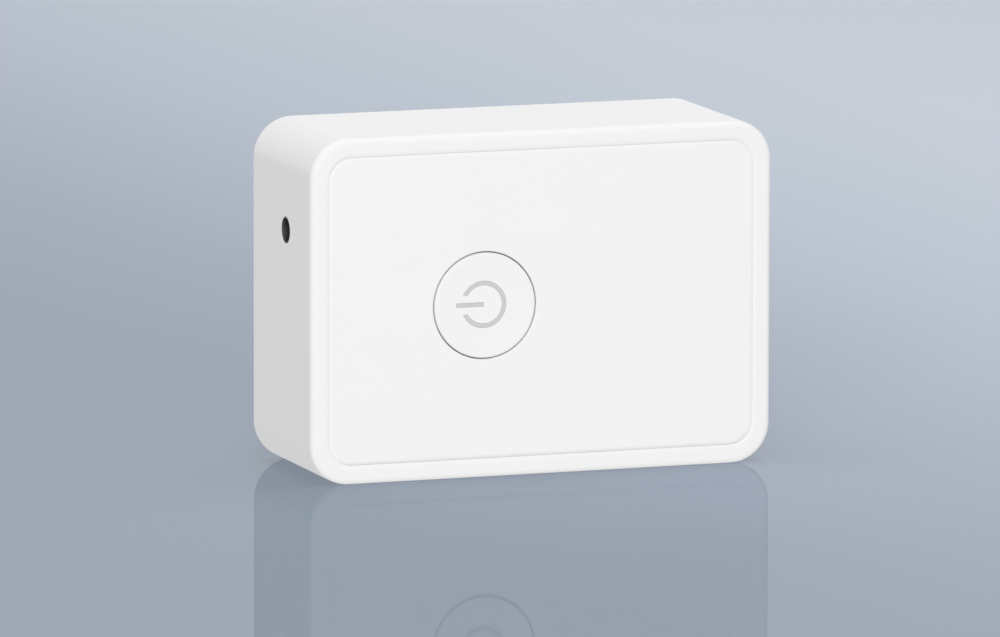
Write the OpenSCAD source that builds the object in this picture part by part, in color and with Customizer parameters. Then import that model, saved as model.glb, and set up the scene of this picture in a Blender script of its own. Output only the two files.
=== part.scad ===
// A small mains-powered radio hub for a home. It stands on a long side, with its
// front towards -Y, +X to the right and +Z up. The origin is at the middle of the
// bottom. The front panel is clamped behind the lip of a one-piece sleeve, the
// circuit board hangs on the front panel, and four long screws through the rear
// cover close the stack. A round button with a power symbol presses a small
// push switch on the board.

/* [Housing] */
// Width of the housing
body_w = 72; // [68:1:90]
// Height of the housing as it stands
body_h = 51.3; // [48:0.1:70]
// Depth of the housing without its feet
body_d = 27; // [25:0.5:36]
// Radius of the four long corners
corner_r = 6; // [4.5:0.5:8]
// Rounding of the front edge
front_edge_r = 0.95; // [0.5:0.05:1.3]
// Rounding of the rear edge
rear_edge_r = 0.5; // [0.2:0.1:0.7]
// Thickness of the side walls
wall = 1.8; // [1.4:0.1:2.2]
// Width of the rim that frames the front panel
rim_w = 2.85; // [2.5:0.05:3.5]
// Depth of the lip that holds the front panel
lip_t = 1.8; // [1.2:0.1:2.2]
// Width of the rim that frames the rear cover
rear_rim_w = 1; // [0.8:0.1:1.2]
// Gap in the seams round the front panel and the rear cover
seam_gap = 0.03; // [0.02:0.01:0.2]

/* [Front panel] */
// Thickness of the front panel
panel_t = 2; // [1.6:0.1:2.4]
// Corner radius of the opening that holds the front panel
panel_corner_r = 3.6; // [2.5:0.1:4.5]
// Rounding of the panel's front edge
panel_edge_r = 0.3; // [0.1:0.05:0.5]
// Thickness of the flange behind the lip
flange_t = 1.5; // [1:0.1:2]
// Width of the flange behind the lip
flange_w = 2.6; // [2.2:0.1:3.2]

/* [Button] */
// Offset of the button from the middle of the front
button_x = -9; // [-11:0.5:-5]
// Diameter of the button cap
button_d = 15.7; // [14:0.1:17]
// Gap round the button cap
button_gap = 0.2; // [0.15:0.01:0.3]
// Travel of the button
button_travel = 0.25; // [0.15:0.01:0.3]
// Thickness of the cap at its rim
cap_t = 1.6; // [1.3:0.1:1.8]
// Depth of the shallow dish in the cap
cap_dish = 0.15; // [0.05:0.01:0.3]
// Thickness of the flange that holds the cap in
cap_flange_t = 0.8; // [0.6:0.1:1]

/* [Power symbol] */
// Outer diameter of the symbol's ring
symbol_d = 7; // [5:0.1:8]
// Stroke of the ring
symbol_line = 0.7; // [0.4:0.05:1]
// Opening between the ring's ends
symbol_opening = 2.9; // [2:0.1:3.4]
// Length of the bar from the ring's centre
bar_l = 4.4; // [3.8:0.1:5]
// Stroke of the bar
bar_w = 0.61; // [0.4:0.01:0.8]

/* [Power socket] */
// Diameter of the hole in the left wall
socket_hole_d = 4; // [3.8:0.1:4.6]
// Distance of the socket's axis below the top
socket_drop = 14.8; // [14:0.1:18]
// Distance of the socket's axis in front of the middle of the depth
socket_forward = 1.8; // [1:0.1:2.4]
// Length of the socket's body
jack_l = 9.5; // [8.5:0.1:10]
// Width of the socket's body
jack_w = 6.4; // [6:0.1:7]
// Height of the socket's body above the board
jack_h = 5.8; // [5.6:0.1:6.2]
// Height of the socket's axis above the board
jack_axis_h = 3; // [2.8:0.1:3.2]
// Bore of the socket
jack_bore_d = 3.6; // [3.4:0.05:3.8]
// Diameter of the socket's centre pin
jack_pin_d = 1.3; // [1.1:0.05:1.5]

/* [Main board] */
// Thickness of the board
board_t = 1.6; // [1:0.1:2]
// Space between the board's edge and the housing
board_gap = 1; // [0.7:0.1:1.4]
// Distance of the board's screws from the housing's left and right sides
board_screw_inset_x = 15.2; // [14.8:0.1:16]
// Distance of the board's screws from the housing's top and bottom
board_screw_inset_z = 8.2; // [7.6:0.1:9]
// Diameter of the bosses that carry the board
board_boss_d = 5; // [4.4:0.1:5.6]

/* [Rear cover] */
// Thickness of the rear cover
cover_t = 2; // [1.8:0.1:2.6]
// Distance of the corner screws from the housing's sides
corner_screw_inset = 6.8; // [6.6:0.1:7.4]
// Diameter of the tubes and bosses round the corner screws
corner_boss_d = 6.8; // [6.4:0.1:7]
// Distance of a keyhole's round entry from the housing's nearer side
keyhole_inset = 16; // [14:1:20]
// Diameter of a keyhole's round entry
keyhole_d = 7; // [6:0.1:8]
// Width of a keyhole's slot
keyhole_slot_w = 3.5; // [3:0.1:4]
// Distance that a screw slides into a keyhole
keyhole_slide = 5; // [4.6:0.1:6]
// Depth of the pocket behind a keyhole
keyhole_pocket = 3.4; // [3:0.1:4]

/* [Feet and screws] */
// Diameter of a rubber foot
foot_d = 7.2; // [6.4:0.1:7.8]
// Thickness of a rubber foot
foot_t = 1.8; // [1.5:0.1:2.2]
// Depth of the recess that holds a foot
foot_recess = 1; // [0.6:0.1:1.2]
// Diameter of a corner screw's shank
corner_screw_d = 2.5; // [2:0.1:2.6]
// Length of a corner screw under its head
corner_screw_l = 10; // [8:0.5:11]
// Diameter of a corner screw's head
corner_head_d = 4.4; // [3.8:0.1:4.5]
// Diameter of a board screw's shank
board_screw_d = 1.9; // [1.6:0.1:2.2]
// Length of a board screw under its head
board_screw_l = 6; // [5:0.5:8]
// Diameter of a board screw's head
board_head_d = 3.8; // [3.2:0.1:4]

/* [Push switch] */
// Side of the switch's square body
switch_w = 6; // [5.5:0.1:6.5]
// Height of the switch's body
switch_h = 3.7; // [3.4:0.1:4.2]
// Height of the plunger's end above the board
switch_top_h = 7; // [6:0.1:8]
// Diameter of the plunger
plunger_d = 3.5; // [3:0.1:3.6]

/* [Radio modules] */
// Width of the larger radio module
wifi_w = 13.2; // [12:0.1:14.5]
// Height of the larger radio module
wifi_h = 16.6; // [15:0.1:18.5]
// Width of the smaller radio module
mesh_w = 12; // [10:0.1:13]
// Height of the smaller radio module
mesh_h = 9; // [8:0.1:10]
// Height of a module's shield
shield_h = 1.9; // [1.6:0.1:2.5]
// Length of the antenna
antenna_l = 20; // [16:0.5:22]
// Height of the antenna above the board
antenna_h = 5; // [4:0.5:6]

/* [Hidden] */

// Facets of true circles, of the circles inside a hull, and of a rounded edge
$fn = 64;
hull_fn = 48;
edge_fn = 24;
// Overrun of every cut past the face it opens
over = 1;
// Clearance of seated pieces, of pieces that slide in another, and of loose ones
seat_gap = 0.1;
run_gap = 0.05;
free_gap = 0.3;

// Colours as the finished object shows them
shell_white = [0.93, 0.93, 0.94];
guide_grey = [0.78, 0.78, 0.79];
foot_grey = [0.25, 0.25, 0.26];
board_green = [0.09, 0.3, 0.2];
part_black = [0.09, 0.09, 0.1];
metal = [0.75, 0.75, 0.76];
gold = [0.82, 0.66, 0.32];
ceramic = [0.75, 0.66, 0.52];

// Planes along the depth, from the front to the back
foot_proud = foot_t - foot_recess;
front_y = -(body_d + foot_proud) / 2;
rear_y = front_y + body_d;
mid_z = body_h / 2;
cover_in_y = rear_y - cover_t;
flange_front_y = front_y + lip_t;
flange_rear_y = flange_front_y + flange_t;
panel_rear_y = front_y + panel_t;
mid_y = front_y + body_d / 2;
socket_y = mid_y - socket_forward;
socket_z = body_h - socket_drop;
board_front_y = socket_y + jack_axis_h;
board_rear_y = board_front_y + board_t;

// Front panel
opening_inset = rim_w + seam_gap;
rib_t = 1;
rib_h = 2.5;
collar_t = 1;
collar_l = 2.5;
flange_inset = wall + seat_gap * 2;

// Button
button_r = button_d / 2;
button_hole_r = button_r + button_gap;
cap_edge = 0.12;
cap_steps = 8;
cap_skirt_t = 1;
cap_flange_w = 1.15;
cap_rim_share = 0.94;
cap_stop_y = panel_rear_y + seat_gap;
cap_rear_y = cap_stop_y + cap_flange_t;
cap_flange_r = button_hole_r + cap_flange_w;
cap_tab_w = 3;
cap_tab_l = 1.1;
collar_in_r = cap_flange_r + free_gap;
collar_r = collar_in_r + collar_t;
dish_r = button_r * cap_rim_share;

// Light guide behind the cap
guide_t = 0.9;
guide_r = button_r - cap_skirt_t - seat_gap;
guide_front_y = front_y + cap_t;
guide_rear_y = guide_front_y + guide_t;
guide_post_d = 3.2;
symbol_gap = 0.03;
stake_d = 1.2;
stake_h = 0.3;
stake_count = 3;
stake_share = 0.8;
stake_ring_r = guide_r * stake_share;

// Push switch on the board under the button
plunger_front_y = board_front_y - switch_top_h;
switch_front_y = board_front_y - switch_h;
switch_plate_t = 0.3;
switch_base_y = switch_front_y + switch_plate_t;
switch_floor_t = 1.1;
switch_floor_y = board_front_y - switch_floor_t;
switch_well_r = 2.4;
plunger_foot_t = 0.6;
plunger_foot_r = switch_well_r - seat_gap * 2;
plunger_tip_r = 1.1;
dome_h = 0.5;
dome_r = switch_well_r - seat_gap;
dome_t = 0.12;
dome_steps = 6;
switch_pin_d = 0.7;
switch_pin_inset = 0.75;
switch_leg_w = 0.7;
switch_leg_t = 0.3;
switch_leg_l = 1.6;
switch_leg_pitch = 4.5;

// Baffle that keeps the light inside
baffle_t = 1;
baffle_in_r = 6.4;
baffle_r = baffle_in_r + baffle_t;
baffle_front_y = cap_rear_y + button_travel + free_gap * 1.5;
peg_d = 0.9;
peg_ring_r = baffle_in_r + baffle_t / 2;
led_w = 1.6;
led_h = 0.8;
led_t = 0.6;
led_ring_r = (switch_w / 2 + baffle_in_r) / 2;
led_count = 4;

// Corner screws, with the tubes of the cover and the bosses of the panel
tube_floor_t = 2;
tube_share = 0.45;
corner_boss_r = corner_boss_d / 2;
corner_join_y = front_y + (cover_in_y - front_y) * (1 - tube_share) - free_gap;
tube_front_y = corner_join_y + seat_gap;
corner_seat_y = tube_front_y + tube_floor_t;
corner_head_t = 1.6;
pilot_spare = 0.8;
screw_drive_d = 1.6;
screw_drive_t = 0.7;

// Main board
board_inset = wall + board_gap;
board_w = body_w - board_inset * 2;
board_h = body_h - board_inset * 2;
board_left = -board_w / 2;
board_bottom = board_inset;
board_head_t = 1.2;
guide_rib_t = 1.2;
guide_rib_share = 0.36;

// Power socket
socket_x = -body_w / 2 + wall + free_gap;
jack_rear_x = socket_x + jack_l;
eyelet_setback = 0.2;
eyelet_lip = 0.08;
eyelet_flange_t = 0.2;
eyelet_flange_w = 1;
jack_back_wall = 1.5;
jack_pin_setback = 0.9;
jack_chamfer = 1;
jack_mouth_l = 1.5;
jack_mouth_w = 0.5;
tail_t = 0.3;
tail_w = 1.6;
tail_out = 0.6;
contact_t = 0.25;
contact_l = 5;
contact_w = 1.6;

// Keyholes in the rear cover
pocket_wall = 1.2;
pocket_r = keyhole_d / 2 + seat_gap * 2;

// Foot
foot_edge = 0.4;

// Parts on the board: their sizes
part_gap = 1.8;
edge_gap = 0.7;
module_t = 0.8;
shield_margin = 1.2;
shield_end_share = 0.2;
shield_wall = 0.2;
shield_corner = 0.6;
antenna_t = 0.4;
antenna_strip = 1.2;
antenna_leg_share = 0.22;
processor_w = 8;
memory_w = 6;
memory_h = 8;
chip_t = 1;
crystal_w = 3.2;
crystal_h = 2.4;
crystal_t = 0.8;
regulator_w = 4;
regulator_h = 5;
regulator_t = 1.5;
leg_l = 0.8;
leg_w = 0.4;
leg_t = 0.15;
leg_pitch = 1.27;
leg_count = 4;
inductor_w = 5;
inductor_t = 2.8;
inductor_plate_t = 0.5;
inductor_drum_share = 0.38;
capacitor_d = [6.3, 4];
capacitor_h = [7.7, 5.4];
capacitor_base_t = 1.2;
capacitor_base_rim = 0.15;
capacitor_neck = 0.35;
small_w = 1;
small_h = 0.5;
small_t = 0.4;
small_pitch = 1.8;
small_count = 5;

// Parts on the board: their places, worked out from their neighbours
board_right = board_left + board_w;
board_top = board_bottom + board_h;
wifi_x = button_x + baffle_r + part_gap + wifi_w / 2;
lower_row_z = (board_bottom + mid_z - wifi_h / 2) / 2;
upper_row_z = (board_top + mid_z + wifi_h / 2) / 2;
mesh_x = wifi_x - wifi_w / 4;
inductor_x = mesh_x - mesh_w / 2 - part_gap - inductor_w / 2;
crystal_x = processor_w / 2 + part_gap + crystal_w / 2;
regulator_x = -processor_w / 2 - part_gap - leg_l - regulator_w / 2;
antenna_x = board_right - edge_gap * 2;
memory_x = antenna_x - part_gap - memory_w / 2;
capacitor_base = [for (d = capacitor_d) d + capacitor_base_rim * 2];
capacitor_x = board_left + edge_gap + capacitor_base[0] / 2;
capacitor_z0 = corner_screw_inset + corner_boss_r + free_gap * 2 + edge_gap + capacitor_base[0] / 2;
capacitor_z = [capacitor_z0,
               capacitor_z0 + (capacitor_base[0] + capacitor_base[1]) / 2 + edge_gap * 2];
small_column = [
    [(wifi_x + wifi_w / 2 + memory_x - memory_w / 2) / 2, mid_z],
    [(capacitor_x + capacitor_base[0] / 2 + button_x - baffle_r) / 2, mid_z - small_pitch * 2],
    [crystal_x + crystal_w / 2 + part_gap, upper_row_z]
];

// A shape in the XZ plane made solid from y0 back to y1
module slab(y0, y1) {
    translate([0, y1, 0])
        rotate([90, 0, 0])
            linear_extrude(y1 - y0)
                children();
}

// A round bar along the depth, from y0 back to y1
module rod(y0, y1, r) {
    translate([0, y1, 0])
        rotate([90, 0, 0])
            cylinder(h = y1 - y0, r = r);
}

// A profile of [radius, depth] points turned round the depth axis
module turned(points) {
    rotate([-90, 0, 0])
        rotate_extrude()
            polygon(points);
}

// A block of size x by z, standing from y0 back to y1 round the place it is put at
module chip(x, z, y0, y1) {
    translate([-x / 2, y0, -z / 2])
        cube([x, y1 - y0, z]);
}

// Outline of the housing drawn in by an inset, in the XZ plane
module outline(inset, r) {
    w = body_w - inset * 2;
    h = body_h - inset * 2;
    translate([0, mid_z]) {
        square([w - r * 2, h], center = true);
        square([w, h - r * 2], center = true);
        for (sx = [-1, 1], sz = [-1, 1])
            translate([sx * (w / 2 - r), sz * (h / 2 - r)])
                circle(r);
    }
}

module at_corners(inset) {
    for (sx = [-1, 1], sz = [-1, 1])
        translate([sx * (body_w / 2 - inset), 0, mid_z + sz * (body_h / 2 - inset)])
            children();
}

module at_button() {
    translate([button_x, 0, mid_z])
        children();
}

module at_board_screws() {
    for (sx = [-1, 1], sz = [-1, 1])
        translate([sx * (body_w / 2 - board_screw_inset_x), 0,
                   mid_z + sz * (body_h / 2 - board_screw_inset_z)])
            children();
}

module at(x, z) {
    translate([x, 0, z])
        children();
}

// A disc with a fully rounded rim, centred on the XZ plane
module soft_disc(r, edge_r) {
    rotate([90, 0, 0])
        rotate_extrude($fn = hull_fn)
            translate([r - edge_r, 0])
                circle(edge_r, $fn = edge_fn);
}

// A block with the housing's outline drawn in by an inset and two rounded edges
module soft_block(inset, r, y0, y1, edge0, edge1) {
    hull()
        at_corners(inset + r) {
            translate([0, y0 + edge0, 0])
                soft_disc(r, edge0);
            translate([0, y1 - edge1, 0])
                soft_disc(r, edge1);
        }
}

module housing() {
    color(shell_white)
    difference() {
        union() {
            difference() {
                soft_block(0, corner_r, front_y, rear_y, front_edge_r, rear_edge_r);
                slab(flange_front_y, rear_y + over)
                    outline(wall, corner_r - wall);
            }
            guide_ribs();
        }
        slab(front_y - over, flange_front_y + over)
            outline(rim_w, panel_corner_r);
        slab(cover_in_y, rear_y + over)
            outline(rear_rim_w, corner_r - rear_rim_w);
        translate([-body_w / 2 - over, socket_y, socket_z])
            rotate([0, 90, 0])
                cylinder(h = wall + over * 2, r = socket_hole_d / 2);
    }
}

// Ribs inside the long walls that centre the board
module guide_ribs() {
    rib_h = board_gap - free_gap + wall / 2;
    for (sx = [-1, 1], sz = [-1, 1])
        translate([sx * board_w / 2 * guide_rib_share, 0,
                   mid_z + sz * (body_h / 2 - wall / 2 - rib_h / 2)])
            chip(guide_rib_t, rib_h, flange_rear_y + free_gap, cover_in_y);
}

module front_panel() {
    color(shell_white)
    difference() {
        union() {
            soft_block(opening_inset, panel_corner_r - seam_gap, front_y, panel_rear_y,
                       panel_edge_r, panel_edge_r);
            panel_flange();
            at_corners(corner_screw_inset)
                rod(panel_rear_y - panel_t / 2, corner_join_y, corner_boss_r);
            at_board_screws()
                rod(panel_rear_y - panel_t / 2, board_front_y, board_boss_d / 2);
            panel_ribs();
            at_button()
                rod(panel_rear_y - panel_t / 2, panel_rear_y + collar_l, collar_r);
        }
        at_button() {
            rod(front_y - over, panel_rear_y + over, button_hole_r);
            rod(panel_rear_y, panel_rear_y + collar_l + over, collar_in_r);
            button_tabs(cap_tab_w + free_gap * 2, panel_rear_y, panel_rear_y + collar_l + over,
                        collar_r + over);
        }
        at_corners(corner_screw_inset)
            rod(corner_seat_y - corner_screw_l - pilot_spare, corner_join_y + over,
                corner_screw_d / 2 + run_gap);
        at_board_screws()
            rod(board_rear_y - board_screw_l - pilot_spare, board_front_y + over,
                board_screw_d / 2 + run_gap);
    }
}

// Ring behind the housing's lip, and the band that ties it to the panel
module panel_flange() {
    slab(flange_front_y, flange_rear_y)
        difference() {
            outline(flange_inset, corner_r - flange_inset);
            outline(flange_inset + flange_w, corner_r - wall);
        }
    slab(panel_rear_y - panel_t / 2, flange_rear_y)
        difference() {
            outline(opening_inset + panel_edge_r, panel_corner_r - panel_edge_r);
            outline(flange_inset + flange_w, corner_r - wall);
        }
}

// Stiffening ribs from the button's collar to the flange
module panel_ribs() {
    y0 = panel_rear_y - panel_t / 2;
    y1 = panel_rear_y + rib_h;
    reach = flange_inset + flange_w / 2;
    translate([0, 0, mid_z])
        chip(body_w - reach * 2, rib_t, y0, y1);
    translate([button_x, 0, mid_z])
        chip(rib_t, body_h - reach * 2, y0, y1);
}

// Two blocks that keep the cap from turning
module button_tabs(w, y0, y1, reach) {
    translate([-reach, y0, -w / 2])
        cube([reach * 2, y1 - y0, w]);
}

// Depth of the dished front at a radius, measured from the cap's rim
function dish_at(r) = cap_dish * (1 - pow(r / dish_r, 2));

// Half profile of the dished front, from the axis out to the rim's rounded edge
function cap_front() = [
    for (i = [0:cap_steps]) [dish_r * i / cap_steps, dish_at(dish_r * i / cap_steps)],
    [button_r - cap_edge, 0],
    [button_r, cap_edge]
];

module button_cap() {
    stop = cap_stop_y - front_y;
    end = cap_rear_y - front_y;
    color(shell_white)
    at_button()
    difference() {
        union() {
            translate([0, front_y, 0])
                turned(concat(cap_front(), [
                    [button_r, stop], [cap_flange_r, stop], [cap_flange_r, end],
                    [button_r - cap_skirt_t, end], [button_r - cap_skirt_t, cap_t], [0, cap_t]
                ]));
            difference() {
                button_tabs(cap_tab_w, cap_stop_y, cap_rear_y, collar_in_r + cap_tab_l);
                rod(cap_stop_y - over, cap_rear_y + over, button_r - cap_skirt_t / 2);
            }
            for (i = [0:stake_count - 1])
                rotate([0, i * 360 / stake_count, 0])
                    translate([stake_ring_r, 0, 0])
                        rod(guide_front_y - cap_t / 2, guide_rear_y + stake_h, stake_d / 2);
        }
        power_symbol(symbol_gap, front_y - over, guide_front_y + over);
    }
}

// The symbol lies on its side, its bar towards -X. grow widens every stroke.
module power_symbol(grow, y0, y1) {
    r = symbol_d / 2;
    slab(y0, y1) {
        difference() {
            circle(r + grow);
            circle(r - symbol_line - grow);
            translate([-r - over, -symbol_opening / 2 + grow])
                square([r + over, symbol_opening - grow * 2]);
        }
        translate([-bar_l - grow, -bar_w / 2 - grow])
            square([bar_l + grow * 2, bar_w + grow * 2]);
    }
}

module light_guide() {
    color(guide_grey)
    at_button() {
        difference() {
            union() {
                intersection() {
                    power_symbol(0, front_y - over, guide_front_y + guide_t / 2);
                    translate([0, front_y, 0])
                        turned(concat(cap_front(), [[button_r, cap_t + guide_t], [0, cap_t + guide_t]]));
                }
                rod(guide_front_y, guide_rear_y, guide_r);
            }
            for (i = [0:stake_count - 1])
                rotate([0, i * 360 / stake_count, 0])
                    translate([stake_ring_r, 0, 0])
                        rod(guide_front_y - over, guide_rear_y + over, stake_d / 2 + run_gap);
        }
        rod(guide_rear_y - guide_t / 2, plunger_front_y - run_gap, guide_post_d / 2);
    }
}

module light_baffle() {
    color(part_black)
    at_button() {
        difference() {
            rod(baffle_front_y, board_front_y, baffle_r);
            rod(baffle_front_y - over, board_front_y + over, baffle_in_r);
        }
        for (sz = [-1, 1])
            translate([0, 0, sz * peg_ring_r])
                rod(board_front_y - over, board_rear_y, peg_d / 2);
    }
}

module main_board() {
    color(board_green)
    difference() {
        slab(board_front_y, board_rear_y)
            outline(board_inset, corner_r - wall);
        at_corners(corner_screw_inset)
            rod(board_front_y - over, board_rear_y + over, corner_boss_r + free_gap * 2);
        at_corners(board_inset)
            chip((corner_screw_inset - board_inset) * 2, (corner_screw_inset - board_inset) * 2,
                 board_front_y - over, board_rear_y + over);
        at_board_screws()
            rod(board_front_y - over, board_rear_y + over, board_screw_d / 2 + seat_gap);
        at_button()
            for (sz = [-1, 1])
                translate([0, 0, sz * peg_ring_r])
                    rod(board_front_y - over, board_rear_y + over, peg_d / 2 + run_gap);
        jack_tails(seat_gap, board_rear_y + over);
    }
}

module board_screws() {
    color(metal)
    at_board_screws()
        screw(board_rear_y, board_screw_l, board_screw_d, board_head_d, board_head_t);
}

// A pan-head screw driven in from the back, its head seated at y
module screw(y, l, d, head_d, head_t) {
    difference() {
        union() {
            rod(y - l, y + head_t / 2, d / 2);
            translate([0, y, 0])
                turned([[0, 0], [head_d / 2, 0], [head_d / 2, head_t / 2],
                        [head_d / 2 - head_t / 2, head_t], [0, head_t]]);
        }
        chip(screw_drive_d, screw_drive_t / 2, y + head_t / 2, y + head_t + over);
        chip(screw_drive_t / 2, screw_drive_d, y + head_t / 2, y + head_t + over);
    }
}

module corner_screws() {
    color(metal)
    at_corners(corner_screw_inset)
        screw(corner_seat_y, corner_screw_l, corner_screw_d, corner_head_d, corner_head_t);
}

module rubber_feet() {
    y = rear_y - foot_recess;
    color(foot_grey)
    at_corners(corner_screw_inset)
        translate([0, y, 0])
            turned([[0, 0], [foot_d / 2, 0], [foot_d / 2, foot_t - foot_edge],
                    [foot_d / 2 - foot_edge, foot_t], [0, foot_t]]);
}

module rear_cover() {
    color(shell_white)
    difference() {
        union() {
            slab(cover_in_y, rear_y)
                outline(rear_rim_w + seam_gap, corner_r - rear_rim_w - seam_gap);
            at_corners(corner_screw_inset)
                rod(tube_front_y, cover_in_y + cover_t / 2, corner_boss_r);
            at_keyholes()
                keyhole_pocket_block(pocket_wall, cover_in_y - keyhole_pocket - pocket_wall,
                                     cover_in_y + cover_t / 2);
        }
        at_corners(corner_screw_inset) {
            rod(rear_y - foot_recess, rear_y + over, foot_d / 2 + seat_gap);
            rod(corner_seat_y, rear_y, corner_head_d / 2 + seat_gap * 2);
            rod(tube_front_y - over, corner_seat_y + over, corner_screw_d / 2 + seat_gap * 2);
        }
        at_keyholes() {
            keyhole_pocket_block(0, cover_in_y - keyhole_pocket, cover_in_y);
            rod(cover_in_y - over, rear_y + over, keyhole_d / 2);
            translate([-keyhole_slide, 0, 0]) {
                rod(cover_in_y - over, rear_y + over, keyhole_slot_w / 2);
                translate([0, cover_in_y - over, -keyhole_slot_w / 2])
                    cube([keyhole_slide, cover_t + over * 2, keyhole_slot_w]);
            }
        }
    }
}

module at_keyholes() {
    for (sx = [-1, 1])
        translate([sx * (body_w / 2 - keyhole_inset), 0, mid_z])
            children();
}

// The space that a screw's head slides in, with walls of thickness t round it
module keyhole_pocket_block(t, y0, y1) {
    translate([-keyhole_slide - pocket_r - t, y0, -pocket_r - t])
        cube([keyhole_slide + pocket_r * 2 + t * 2, y1 - y0, pocket_r * 2 + t * 2]);
}

module at_switch_corners(inset) {
    at_button()
        for (sx = [-1, 1], sz = [-1, 1])
            translate([sx * (switch_w / 2 - inset), 0, sz * (switch_w / 2 - inset)])
                children();
}

module switch_base() {
    color(part_black) {
        difference() {
            at_button()
                chip(switch_w, switch_w, switch_base_y, board_front_y);
            at_button()
                rod(switch_base_y - over, switch_floor_y, switch_well_r);
        }
        at_switch_corners(switch_pin_inset)
            rod(switch_front_y, switch_base_y + switch_plate_t, switch_pin_d / 2);
    }
}

module switch_cover() {
    color(metal)
    difference() {
        at_button()
            chip(switch_w, switch_w, switch_front_y, switch_base_y);
        at_button()
            rod(switch_front_y - over, switch_base_y + over, plunger_d / 2 + seat_gap);
        at_switch_corners(switch_pin_inset)
            rod(switch_front_y - over, switch_base_y + over, switch_pin_d / 2 + run_gap);
    }
}

module switch_plunger() {
    foot_y = switch_base_y + seat_gap;
    color(part_black)
    at_button() {
        rod(plunger_front_y, foot_y + plunger_foot_t / 2, plunger_d / 2);
        rod(foot_y, foot_y + plunger_foot_t, plunger_foot_r);
        rod(foot_y + plunger_foot_t / 2, switch_floor_y - dome_h - run_gap, plunger_tip_r);
    }
}

// Snap dome, a thin bowed disc whose rim rests on the floor of the switch
module switch_dome() {
    color(metal)
    at_button()
        translate([0, switch_floor_y, 0])
            turned([
                for (i = [0:dome_steps])
                    [dome_r * i / dome_steps, -dome_h * (1 - pow(i / dome_steps, 2))],
                for (i = [0:dome_steps])
                    [dome_r - (dome_r * i) / dome_steps,
                     -(dome_h - dome_t) * (1 - pow(1 - i / dome_steps, 2))]
            ]);
}

module switch_terminals() {
    color(metal)
    at_button()
        for (sx = [-1, 1], sz = [-1, 1])
            translate([sx * (switch_w / 2 + switch_leg_l / 2), 0, sz * switch_leg_pitch / 2])
                chip(switch_leg_l, switch_leg_w, board_front_y - switch_leg_t, board_front_y);
}

// Thin drawn eyelet that lines the hole in the wall, its flange on the inside
module socket_eyelet() {
    r0 = jack_bore_d / 2;
    r1 = socket_hole_d / 2 - run_gap / 2;
    end = wall + eyelet_flange_t;
    color(part_black)
    translate([-body_w / 2, socket_y, socket_z])
        rotate([0, 90, 0])
            rotate_extrude()
                polygon([
                    [r0, eyelet_setback + eyelet_lip], [r0 + eyelet_lip, eyelet_setback],
                    [r1, eyelet_setback], [r1, wall], [r1 + eyelet_flange_w, wall],
                    [r1 + eyelet_flange_w, end], [r0, end]
                ]);
}

// Side outline of the socket's body, its top edges cut off, turned along X
module jack_body() {
    color(part_black)
    difference() {
        translate([socket_x, board_front_y, socket_z])
            rotate([90, 0, 90])
                linear_extrude(jack_l)
                    polygon([
                        [0, -jack_w / 2], [0, jack_w / 2],
                        [-jack_h + jack_chamfer, jack_w / 2], [-jack_h, jack_w / 2 - jack_chamfer],
                        [-jack_h, -jack_w / 2 + jack_chamfer], [-jack_h + jack_chamfer, -jack_w / 2]
                    ]);
        translate([socket_x - over, socket_y, socket_z])
            rotate([0, 90, 0])
                cylinder(h = jack_l - jack_back_wall + over, r = jack_bore_d / 2);
        jack_mouth();
        translate([jack_rear_x - jack_back_wall - over, socket_y, socket_z])
            rotate([0, 90, 0])
                cylinder(h = jack_back_wall + over * 2, r = jack_pin_d / 2 + run_gap);
        contact_channel();
    }
}

// Funnel that leads the plug into the socket's bore
module jack_mouth() {
    translate([socket_x, socket_y, socket_z])
        rotate([0, 90, 0])
            cylinder(h = jack_mouth_l, r1 = jack_bore_d / 2 + jack_mouth_w, r2 = jack_bore_d / 2);
}

// Slot in the side of the socket that holds its side contact
module contact_channel() {
    x = jack_rear_x - jack_back_wall - contact_l;
    translate([x, socket_y - contact_w / 2 - seat_gap, socket_z + jack_bore_d / 2 - contact_t])
        cube([contact_l, board_front_y - socket_y + contact_w / 2 + seat_gap + over,
              jack_w / 2 + over]);
}

module jack_center_pin() {
    color(metal) {
        translate([socket_x + jack_pin_setback, socket_y, socket_z])
            rotate([0, 90, 0])
                cylinder(h = jack_l - jack_pin_setback + tail_t / 2, r = jack_pin_d / 2);
        center_tail(0, board_rear_y + tail_out);
    }
}

module jack_side_contact() {
    color(metal) {
        translate([jack_rear_x - jack_back_wall - contact_l + seat_gap,
                   socket_y - contact_w / 2, socket_z + jack_bore_d / 2 + run_gap])
            cube([contact_l - seat_gap * 2, contact_w, contact_t]);
        side_tail(0, board_rear_y + tail_out);
    }
}

// Tail of the centre pin, down the back of the socket and through the board
module center_tail(grow, y1) {
    translate([jack_rear_x - grow, socket_y - tail_w / 2 - grow, socket_z - tail_w / 2 - grow])
        cube([tail_t + grow * 2, y1 - socket_y + tail_w / 2 + grow, tail_w + grow * 2]);
}

// Tail of the side contact, through the board
module side_tail(grow, y1) {
    translate([jack_rear_x - jack_back_wall - contact_l / 2 - tail_w / 2 - grow,
               socket_y - grow, socket_z + jack_bore_d / 2 + run_gap - grow])
        cube([tail_w + grow * 2, y1 - socket_y + grow, contact_t + grow * 2]);
}

module jack_tails(grow, y1) {
    center_tail(grow, y1);
    side_tail(grow, y1);
}

module wifi_board() {
    color(board_green)
    at(wifi_x, mid_z)
        chip(wifi_w, wifi_h, board_front_y - module_t, board_front_y);
}

module wifi_shield() {
    color(metal)
    at(wifi_x, mid_z)
        shield(wifi_w, wifi_h);
}

module mesh_board() {
    color(board_green)
    at(mesh_x, lower_row_z)
        chip(mesh_w, mesh_h, board_front_y - module_t, board_front_y);
}

module mesh_shield() {
    color(metal)
    at(mesh_x, lower_row_z)
        rotate([0, 90, 0])
            shield(mesh_h, mesh_w);
}

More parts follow.
